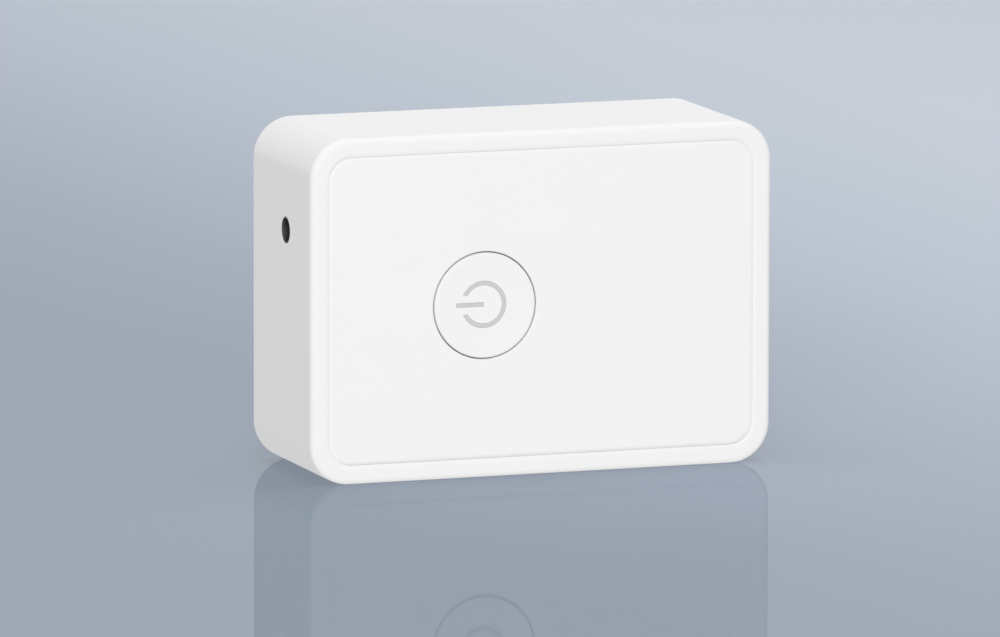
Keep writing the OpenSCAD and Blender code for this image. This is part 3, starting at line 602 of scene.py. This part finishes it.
class HUB_OT_front_panel(Operator):
    """Models the front panel with its flange, ribs, collar and bosses"""
    bl_idname = "hub.front_panel"
    bl_label = "Front panel"

    def execute(self, context):
        s = context.scene.hub_shell
        b = context.scene.hub_button
        inset = s.rim + s.seam
        corner = s.opening_corner - s.seam
        hole = b.across / 2 + b.gap
        back = FRONT + s.panel
        flange_in = s.wall + s.fit
        flange_end = flange_in + s.flange_width
        flange_back = FRONT + s.lip + s.flange
        bm = bmesh.new()
        loops = [ring_loop(bm, BUTTON_X, MIDDLE, radius, depth)
                 for radius, depth in reversed(arc((hole, FRONT), b.edge, b.edge, quarter(4)))]
        for step_in, depth in soft_side(inset, s.groove_width, s.groove_depth):
            edges = frame_loop(bm, step_in, corner - (step_in - inset), depth)
            share = math.sqrt((depth - FRONT) / s.groove_depth)
            loops.append(sink(bm, edges, -1, share * s.low_groove, corner))
        for step_in, radius, depth in (
                (inset, corner, FRONT + s.lip), (flange_in, s.corner - flange_in, FRONT + s.lip),
                (flange_in, s.corner - flange_in, flange_back), (flange_end, corner, flange_back),
                (flange_end, corner, back)):
            loops.append(frame_loop(bm, step_in, radius, depth))
        loops.append(ring_loop(bm, BUTTON_X, MIDDLE, hole, back))
        loft(bm, loops)

        start, end = back - ROOT, back + s.rib
        collar = (CAP_HIGH.z - CAP_LOW.z) / 2 + s.collar_gap
        collar_out = collar + s.collar
        turned(bm, [(collar, start), (collar_out, start), (collar_out, end), (collar, end)],
               BUTTON_X, MIDDLE, closed=True)
        for side, up in CORNERS:
            self.boss(bm, side * (WIDTH / 2 - s.screw_inset),
                      MIDDLE + up * (HEIGHT / 2 - s.screw_inset),
                      s.boss / 2, s.boss_bore / 2, back, COVER_LOW.y - s.boss_gap)
            self.boss(bm, side * (WIDTH / 2 - s.board_screw_x),
                      MIDDLE + up * (HEIGHT / 2 - s.board_screw_z),
                      s.small_boss / 2, s.small_bore / 2, back, BOARD_LOW.y)
        rib = s.rib_width / 2
        near = (collar + collar_out) / 2
        reach = flange_in + s.flange_width / 2
        for low_x, high_x in ((-WIDTH / 2 + reach, BUTTON_X - near),
                              (BUTTON_X + near, WIDTH / 2 - reach)):
            block(bm, (low_x, start, MIDDLE - rib), (high_x, end, MIDDLE + rib), EDGE)
        for low_z, high_z in ((reach, MIDDLE - near), (MIDDLE + near, HEIGHT - reach)):
            block(bm, (BUTTON_X - rib, start, low_z), (BUTTON_X + rib, end, high_z), EDGE)
        finish_piece(as_piece(bm, "face_panel"), "hub", ["front_panel"], white())
        return {'FINISHED'}

    @staticmethod
    def boss(bm, x, z, radius, bore, start, end):
        """A boss with a blind bore from its end."""
        edge = 0.2 * MM
        root = start - 0.3 * MM
        floor = start + 0.4 * MM
        turned(bm, [(0, root), (radius, root), (radius, end - edge), (radius - edge, end),
                    (bore + edge, end), (bore, end - edge), (bore, floor), (0, floor)],
               x, z, steps=48)


class HUB_OT_button(Operator):
    """Models the dished cap with its symbol, and the light guide that fills it"""
    bl_idname = "hub.button"
    bl_label = "Button"

    def execute(self, context):
        b = context.scene.hub_button
        radius = b.across / 2
        dish = radius * 0.94
        face_back = FRONT + b.cap
        face = [(dish * step / b.steps, FRONT + b.dish * (1 - (step / b.steps) ** 2))
                for step in range(b.steps + 1)]
        rim = [(radius - b.edge * (1 - math.sin(angle)), FRONT + b.edge * (1 - math.cos(angle)))
               for angle in quarter(4)]
        disc = radius - b.skirt - b.disc_gap
        stake_ring = 0.8 * disc
        self.cap(b, radius, face + rim, face_back, stake_ring)
        self.guide(b, face + [(radius, FRONT)], face_back, disc, stake_ring)
        return {'FINISHED'}

    def cap(self, b, radius, face, face_back, stake_ring):
        """The cap, with its flange, its two tabs and the stakes that hold the guide."""
        flange = CAP_HIGH.z - MIDDLE
        flange_front = CAP_HIGH.y - b.flange
        inside = radius - b.skirt
        bm = bmesh.new()
        turned(bm, face + [(radius, flange_front), (flange, flange_front), (flange, CAP_HIGH.y),
                           (inside, CAP_HIGH.y), (inside, face_back), (0, face_back)],
               BUTTON_X, MIDDLE)
        cap = as_piece(bm, "press_cap")
        cut(cap, self.symbol(b, b.play, FRONT - OVERRUN, face_back + OVERRUN / 2))
        bm = bmesh.new()
        reach = CAP_HIGH.x - BUTTON_X
        inner = flange - DEEP_ROOT
        for low, high in ((-reach, -inner), (inner, reach)):
            block(bm, (BUTTON_X + low, flange_front, MIDDLE - b.tab / 2),
                  (BUTTON_X + high, CAP_HIGH.y, MIDDLE + b.tab / 2), EDGE)
        stake = b.stake / 2
        start, end = face_back - DEEP_ROOT, face_back + b.stake_length
        for x, z in self.stakes(stake_ring):
            turned(bm, [(0, start), (stake, start), (stake, end - EDGE), (stake - EDGE, end),
                        (0, end)], x, z, steps=24)
        join(cap, as_piece(bm, "cap_tabs"))
        finish_piece(cap, "button", ["button_cap"], white())

    def guide(self, b, face, face_back, disc, stake_ring):
        """The light guide: the symbol in the cap's face, and the disc and post behind it."""
        bm = bmesh.new()
        end = face_back + DEEP_ROOT
        turned(bm, face + [(face[-1][0], end), (0, end)], BUTTON_X, MIDDLE)
        front = as_piece(bm, "guide_front")
        cut(front, self.symbol(b, 0, FRONT - OVERRUN, face_back + ROOT), 'INTERSECT')
        bm = bmesh.new()
        post = b.post / 2
        back = face_back + b.disc
        turned(bm, [(0, face_back), (disc - EDGE, face_back), (disc, face_back + EDGE),
                    (disc, back - EDGE), (disc - EDGE, back), (post, back),
                    (post, GUIDE_HIGH.y - EDGE), (post - EDGE, GUIDE_HIGH.y), (0, GUIDE_HIGH.y)],
               BUTTON_X, MIDDLE)
        guide = as_piece(bm, "symbol_guide")
        hole = b.stake_hole / 2
        start, end = face_back - OVERRUN, face_back + 2 * OVERRUN
        for x, z in self.stakes(stake_ring):
            bm = bmesh.new()
            turned(bm, [(0, start), (hole, start), (hole, end), (0, end)], x, z, steps=24)
            cut(guide, as_piece(bm, "stake_tool"))
        join(guide, front)
        grey = guide_finish(bpy.context.scene.hub_finishes.grey)
        finish_piece(guide, "button", ["light_guide"], grey)

    @staticmethod
    def stakes(ring):
        """Places of the three stakes on a ring round the button's axis."""
        angles = [index * 2 * math.pi / 3 for index in range(3)]
        return [(BUTTON_X + ring * math.cos(angle), MIDDLE - ring * math.sin(angle))
                for angle in angles]

    @staticmethod
    def symbol(b, grow, start, end):
        """The power symbol on its side as one solid, every stroke widened by grow."""
        outer = b.symbol / 2 + grow
        inner = b.symbol / 2 - b.stroke - grow
        x = BUTTON_X - b.symbol_left
        z = MIDDLE + b.symbol_up
        bm = bmesh.new()
        turned(bm, [(inner, start), (outer, start), (outer, end), (inner, end)],
               x, z, closed=True, steps=128)
        ring = as_piece(bm, "symbol_tool")
        bm = bmesh.new()
        half = b.opening / 2 - grow
        block(bm, (x - outer - OVERRUN, start - OVERRUN, z - half), (x, end + OVERRUN, z + half))
        cut(ring, as_piece(bm, "opening_tool"))
        bm = bmesh.new()
        half = b.bar_stroke / 2 + grow
        block(bm, (x - b.bar - grow, start, z - half), (x + grow, end, z + half))
        join(ring, as_piece(bm, "bar_tool"))
        return ring


class HUB_OT_rear_cover(Operator):
    """Softens the edges of the rear cover with its keyholes and screw tubes"""
    bl_idname = "hub.rear_cover"
    bl_label = "Rear cover"

    def execute(self, context):
        bm = bmesh.new()
        bm.from_mesh(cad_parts["rear_cover"].data)
        bmesh.ops.remove_doubles(bm, verts=bm.verts, dist=1e-6)
        bmesh.ops.dissolve_limit(bm, angle_limit=math.radians(1), verts=bm.verts, edges=bm.edges)
        mesh = bpy.data.meshes.new("back_plate")
        bm.to_mesh(mesh)
        bm.free()
        plate = bpy.data.objects.new("back_plate", mesh)
        context.scene.collection.objects.link(plate)
        finish_piece(plate, "hub", ["rear_cover"], white(), edge=0.12 * MM)
        return {'FINISHED'}


class HUB_OT_feet(Operator):
    """Models the four rubber feet on the back"""
    bl_idname = "hub.feet"
    bl_label = "Feet"

    def execute(self, context):
        s = context.scene.hub_shell
        middle_x = WIDTH / 2 - s.screw_inset
        middle_z = HEIGHT / 2 - s.screw_inset
        radius = FEET_HIGH.x - middle_x
        start, end = FEET_LOW.y, FEET_HIGH.y
        soft, dimple = 0.45 * MM, 0.08 * MM
        dimple_top, dimple_floor = 0.55 * radius, 0.5 * radius
        rim = [(radius - soft * (1 - math.cos(angle)), end - soft * (1 - math.sin(angle)))
               for angle in quarter(5)]
        bm = bmesh.new()
        for side, up in CORNERS:
            turned(bm, [(0, start), (radius, start)] + rim
                   + [(dimple_top, end), (dimple_floor, end - dimple), (0, end - dimple)],
                   side * middle_x, MIDDLE + up * middle_z, steps=64)
        feet = as_piece(bm, "back_feet")
        rubber = rubber_finish(context.scene.hub_finishes.rubber)
        finish_piece(feet, "hub", ["rubber_feet"], rubber)
        return {'FINISHED'}


class HUB_OT_eyelet(Operator):
    """Models the thin black eyelet that lines the socket's hole"""
    bl_idname = "hub.eyelet"
    bl_label = "Socket eyelet"

    def execute(self, context):
        s = context.scene.hub_shell
        recess, gap, edge, brim = 0.03 * MM, 0.025 * MM, 0.04 * MM, 0.2 * MM
        start = SLEEVE_LOW.x + recess
        reach = EYELET_HIGH.x - start
        back = reach - brim
        bore = s.socket_bore / 2
        outside = s.socket_hole / 2 - gap
        wide = (EYELET_HIGH.z - EYELET_LOW.z) / 2
        bm = bmesh.new()
        turned(bm, [(bore, 2 * edge), (bore + edge / 2, edge / 2), (bore + 2 * edge, 0),
                    (outside - edge, 0), (outside, s.hole_bevel), (outside, back),
                    (wide - edge, back), (wide, back + edge), (wide, reach), (bore, reach)],
               0, 0, closed=True, steps=64)
        turn_to_side(bm, start, (EYELET_LOW.y + EYELET_HIGH.y) / 2,
                     (EYELET_LOW.z + EYELET_HIGH.z) / 2)
        black = metal_finish("blackened_brass", context.scene.hub_finishes.blackened,
                             roughness=0.42, grain=(1, 3, 3))
        finish_piece(as_piece(bm, "hole_eyelet"), "hub", ["socket_eyelet"], black)
        return {'FINISHED'}


class HUB_OT_inner_parts(Operator):
    """Gives every solid that stays its finish"""
    bl_idname = "hub.inner_parts"
    bl_label = "Inner parts"

    def execute(self, context):
        f = context.scene.hub_finishes
        zinc = metal_finish("zinc_plate", f.zinc, roughness=0.36, grain=(4, 1, 4))
        gilt = metal_finish("gilt_strip", f.gilt, roughness=0.28, grain=(1, 1, 6))
        tin = metal_finish("tinned_sheet", f.tin, roughness=0.32, grain=(1, 5, 1))
        nylon = nylon_finish(f.black)
        resist = board_finish(f.resist)
        resin = resin_finish(f.resin)
        fired = fired_finish(f.fired)
        finishes = {
            zinc: ("corner_screws", "board_screws"),
            gilt: ("antenna",),
            tin: ("switch_cover", "switch_dome", "switch_terminals", "jack_center_pin",
                  "jack_side_contact", "wifi_shield", "mesh_shield", "capacitors", "crystal"),
            nylon: ("light_baffle", "switch_base", "switch_plunger", "jack_body"),
            resist: ("main_board", "wifi_board", "mesh_board"),
            resin: ("processor", "memory_chip", "regulator", "inductor"),
            fired: ("status_leds", "small_parts"),
        }
        for finish, nodes in finishes.items():
            for node in nodes:
                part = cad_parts[node]
                if not part.material_slots:
                    part.data.materials.append(finish)
                for slot in part.material_slots:
                    slot.material = finish
        return {'FINISHED'}


class HUB_OT_studio(Operator):
    """Lays the floor, lights the hub and places the camera"""
    bl_idname = "hub.studio"
    bl_label = "Studio"

    KEY_PLACE, KEY_SPREAD = (-0.5, -1.54, 0.38), (1.2, 0.7)
    TOP_PLACE, TOP_SPREAD = (0.1, 0.1, 1.25), (1.2, 1.2)
    WHITE = (1, 1, 1, 1)
    FLOOR_RADIUS = 4.0
    FLOOR_GLOSS = 0.15  # share of a faint mirror in the floor

    # The floor's colours from near left to far right, and where along that way they start; the ramp
    # is painted light, darker near the front left and lighter towards the back right
    FLOOR_PAINTED_LIGHT_STOPS = [(0.0, (0.234, 0.298, 0.386)), (0.15, (0.250, 0.312, 0.405)),
                   (0.32, (0.305, 0.367, 0.476)), (0.45, (0.370, 0.438, 0.548)),
                   (0.6, (0.448, 0.520, 0.635)), (0.8, (0.526, 0.612, 0.712)),
                   (1.0, (0.605, 0.656, 0.775))]
    STOPS_START, STOPS_REACH, STOPS_SLANT = -0.1, 0.65, 2.0

    def execute(self, context):
        s = context.scene.hub_studio
        self.floor(s)
        self.sky(s)
        middle = Vector((0, (FRONT + REAR) / 2, MIDDLE))
        self.lamp("key_lamp", s.key, self.KEY_PLACE, middle, self.KEY_SPREAD)
        self.lamp("top_lamp", s.top, self.TOP_PLACE, middle, self.TOP_SPREAD)
        self.camera(s, middle)
        context.scene.view_settings.view_transform = 'Standard'
        return {'FINISHED'}

    @staticmethod
    def lamp(name, power, place, target, spread):
        """A soft rectangular lamp that points at the hub."""
        light = bpy.data.lights.new(name, 'AREA')
        light.shape = 'RECTANGLE'
        light.size, light.size_y = spread
        light.energy = power
        lamp = bpy.data.objects.new(name, light)
        bpy.context.scene.collection.objects.link(lamp)
        lamp.visible_glossy = False
        lamp.location = place
        lamp.rotation_euler = (target - Vector(place)).to_track_quat('-Z', 'Y').to_euler()

    def floor(self, s):
        """A smooth floor with painted light, darker near the front left and lighter towards the
        back right, that glows for all rays but the camera's to throw even light on the hub.
        """
        bm = bmesh.new()
        bmesh.ops.create_circle(bm, cap_ends=True, radius=self.FLOOR_RADIUS, segments=96)
        mesh = bpy.data.meshes.new("floor")
        bm.to_mesh(mesh)
        bm.free()
        floor = bpy.data.objects.new("floor", mesh)
        bpy.context.scene.collection.objects.link(floor)
        made = bpy.data.materials.new("studio_floor")
        made.use_nodes = True
        sheet = Sheet(made.node_tree)
        x = sheet.node("ShaderNodeSeparateXYZ", None,
                       {0: sheet.node("ShaderNodeTexCoord", output="Object")})
        y = x.sibling("Y")
        away = x * -math.sin(s.azimuth) + y * math.cos(s.azimuth)
        across = x * math.cos(s.azimuth) + y * math.sin(s.azimuth)
        along = (away + across * self.STOPS_SLANT - self.STOPS_START) * (1 / self.STOPS_REACH)
        # Painted light: the ramp makes the floor darker near the front left and lighter towards the
        # back right.
        colour = sheet.node("ShaderNodeValToRGB", {"stops": self.FLOOR_PAINTED_LIGHT_STOPS}, {0: along})
        matt = sheet.node("ShaderNodeBsdfDiffuse", None, {"Color": colour})
        gloss = sheet.node("ShaderNodeBsdfAnisotropic", None,
                           {"Color": self.WHITE, "Roughness": 0.03})
        shown = sheet.node("ShaderNodeMixShader", None, {0: self.FLOOR_GLOSS, 1: matt, 2: gloss})
        # The floor glows for every ray but the camera's, lighting the hub evenly from below as
        # bounced light would.
        bounce_glow = sheet.node("ShaderNodeEmission", None, {"Color": self.WHITE, "Strength": s.bounce})
        seen = sheet.node("ShaderNodeLightPath", output="Is Camera Ray")
        surface = sheet.node("ShaderNodeMixShader", None, {0: seen, 1: bounce_glow, 2: shown})
        sheet.node("ShaderNodeOutputMaterial", None, {"Surface": surface})
        mesh.materials.append(made)

    def sky(self, s):
        """An even sky, with the backdrop's colour where the camera looks at it."""
        world = bpy.data.worlds.new("studio")
        world.use_nodes = True
        sheet = Sheet(world.node_tree)
        seen = sheet.node("ShaderNodeLightPath", output="Is Camera Ray")
        mirrored = seen.sibling("Is Glossy Ray")
        even, bright, backdrop = (
            sheet.node("ShaderNodeBackground", None, {"Color": colour, "Strength": strength})
            for colour, strength in ((self.WHITE, s.sky), (self.WHITE, s.gloss_sky),
                                     (rgba(s.horizon), 1.0)))
        lit = sheet.node("ShaderNodeMixShader", None, {0: mirrored, 1: even, 2: bright})
        shown = sheet.node("ShaderNodeMixShader", None, {0: seen, 1: lit, 2: backdrop})
        sheet.node("ShaderNodeOutputWorld", None, {"Surface": shown})
        bpy.context.scene.world = world

    @staticmethod
    def camera(s, middle):
        """The camera, at its direction, distance and framing."""
        lens = bpy.data.cameras.new("view")
        lens.sensor_width = 36.0
        lens.lens = s.lens
        lens.shift_x, lens.shift_y = s.shift
        lens.clip_end = 50.0
        camera = bpy.data.objects.new("view", lens)
        bpy.context.scene.collection.objects.link(camera)
        back = Vector((math.sin(s.azimuth) * math.cos(s.elevation),
                       -math.cos(s.azimuth) * math.cos(s.elevation), math.sin(s.elevation)))
        turn = (-back).to_track_quat('-Z', 'Y').to_matrix().to_4x4()
        tilt = Matrix.Rotation(s.roll, 4, 'Z')
        camera.matrix_world = Matrix.Translation(middle + back * s.distance) @ turn @ tilt
        bpy.context.scene.camera = camera


PIECES = (HUB_OT_sleeve, HUB_OT_front_panel, HUB_OT_button, HUB_OT_rear_cover, HUB_OT_feet,
          HUB_OT_eyelet, HUB_OT_inner_parts, HUB_OT_studio)


class HUB_PT_panel(Panel):
    """Lists the pieces of the hub"""
    bl_idname = "HUB_PT_panel"
    bl_label = "Home hub"
    bl_space_type = 'VIEW_3D'
    bl_region_type = 'UI'
    bl_category = "Home hub"

    def draw(self, context):
        for piece in PIECES:
            self.layout.operator(piece.bl_idname)
        for group in (context.scene.hub_shell, context.scene.hub_button,
                      context.scene.hub_finishes, context.scene.hub_studio):
            box = self.layout.box()
            for name in type(group).__annotations__:
                box.prop(group, name)


GROUPS = {"hub_shell": ShellSizes, "hub_button": ButtonSizes,
          "hub_finishes": Finishes, "hub_studio": StudioSettings}


def register():
    for group in GROUPS.values():
        bpy.utils.register_class(group)
    for piece in PIECES:
        bpy.utils.register_class(piece)
    bpy.utils.register_class(HUB_PT_panel)
    for name, group in GROUPS.items():
        setattr(bpy.types.Scene, name, PointerProperty(type=group))


def unregister():
    for name in GROUPS:
        delattr(bpy.types.Scene, name)
    bpy.utils.unregister_class(HUB_PT_panel)
    for piece in reversed(PIECES):
        bpy.utils.unregister_class(piece)
    for group in GROUPS.values():
        bpy.utils.unregister_class(group)


def main():
    register()
    bpy.ops.hub.studio()
    bpy.ops.hub.sleeve()
    bpy.ops.hub.front_panel()
    bpy.ops.hub.button()
    bpy.ops.hub.rear_cover()
    bpy.ops.hub.feet()
    bpy.ops.hub.eyelet()
    bpy.ops.hub.inner_parts()


if __name__ == "__main__":
    main()
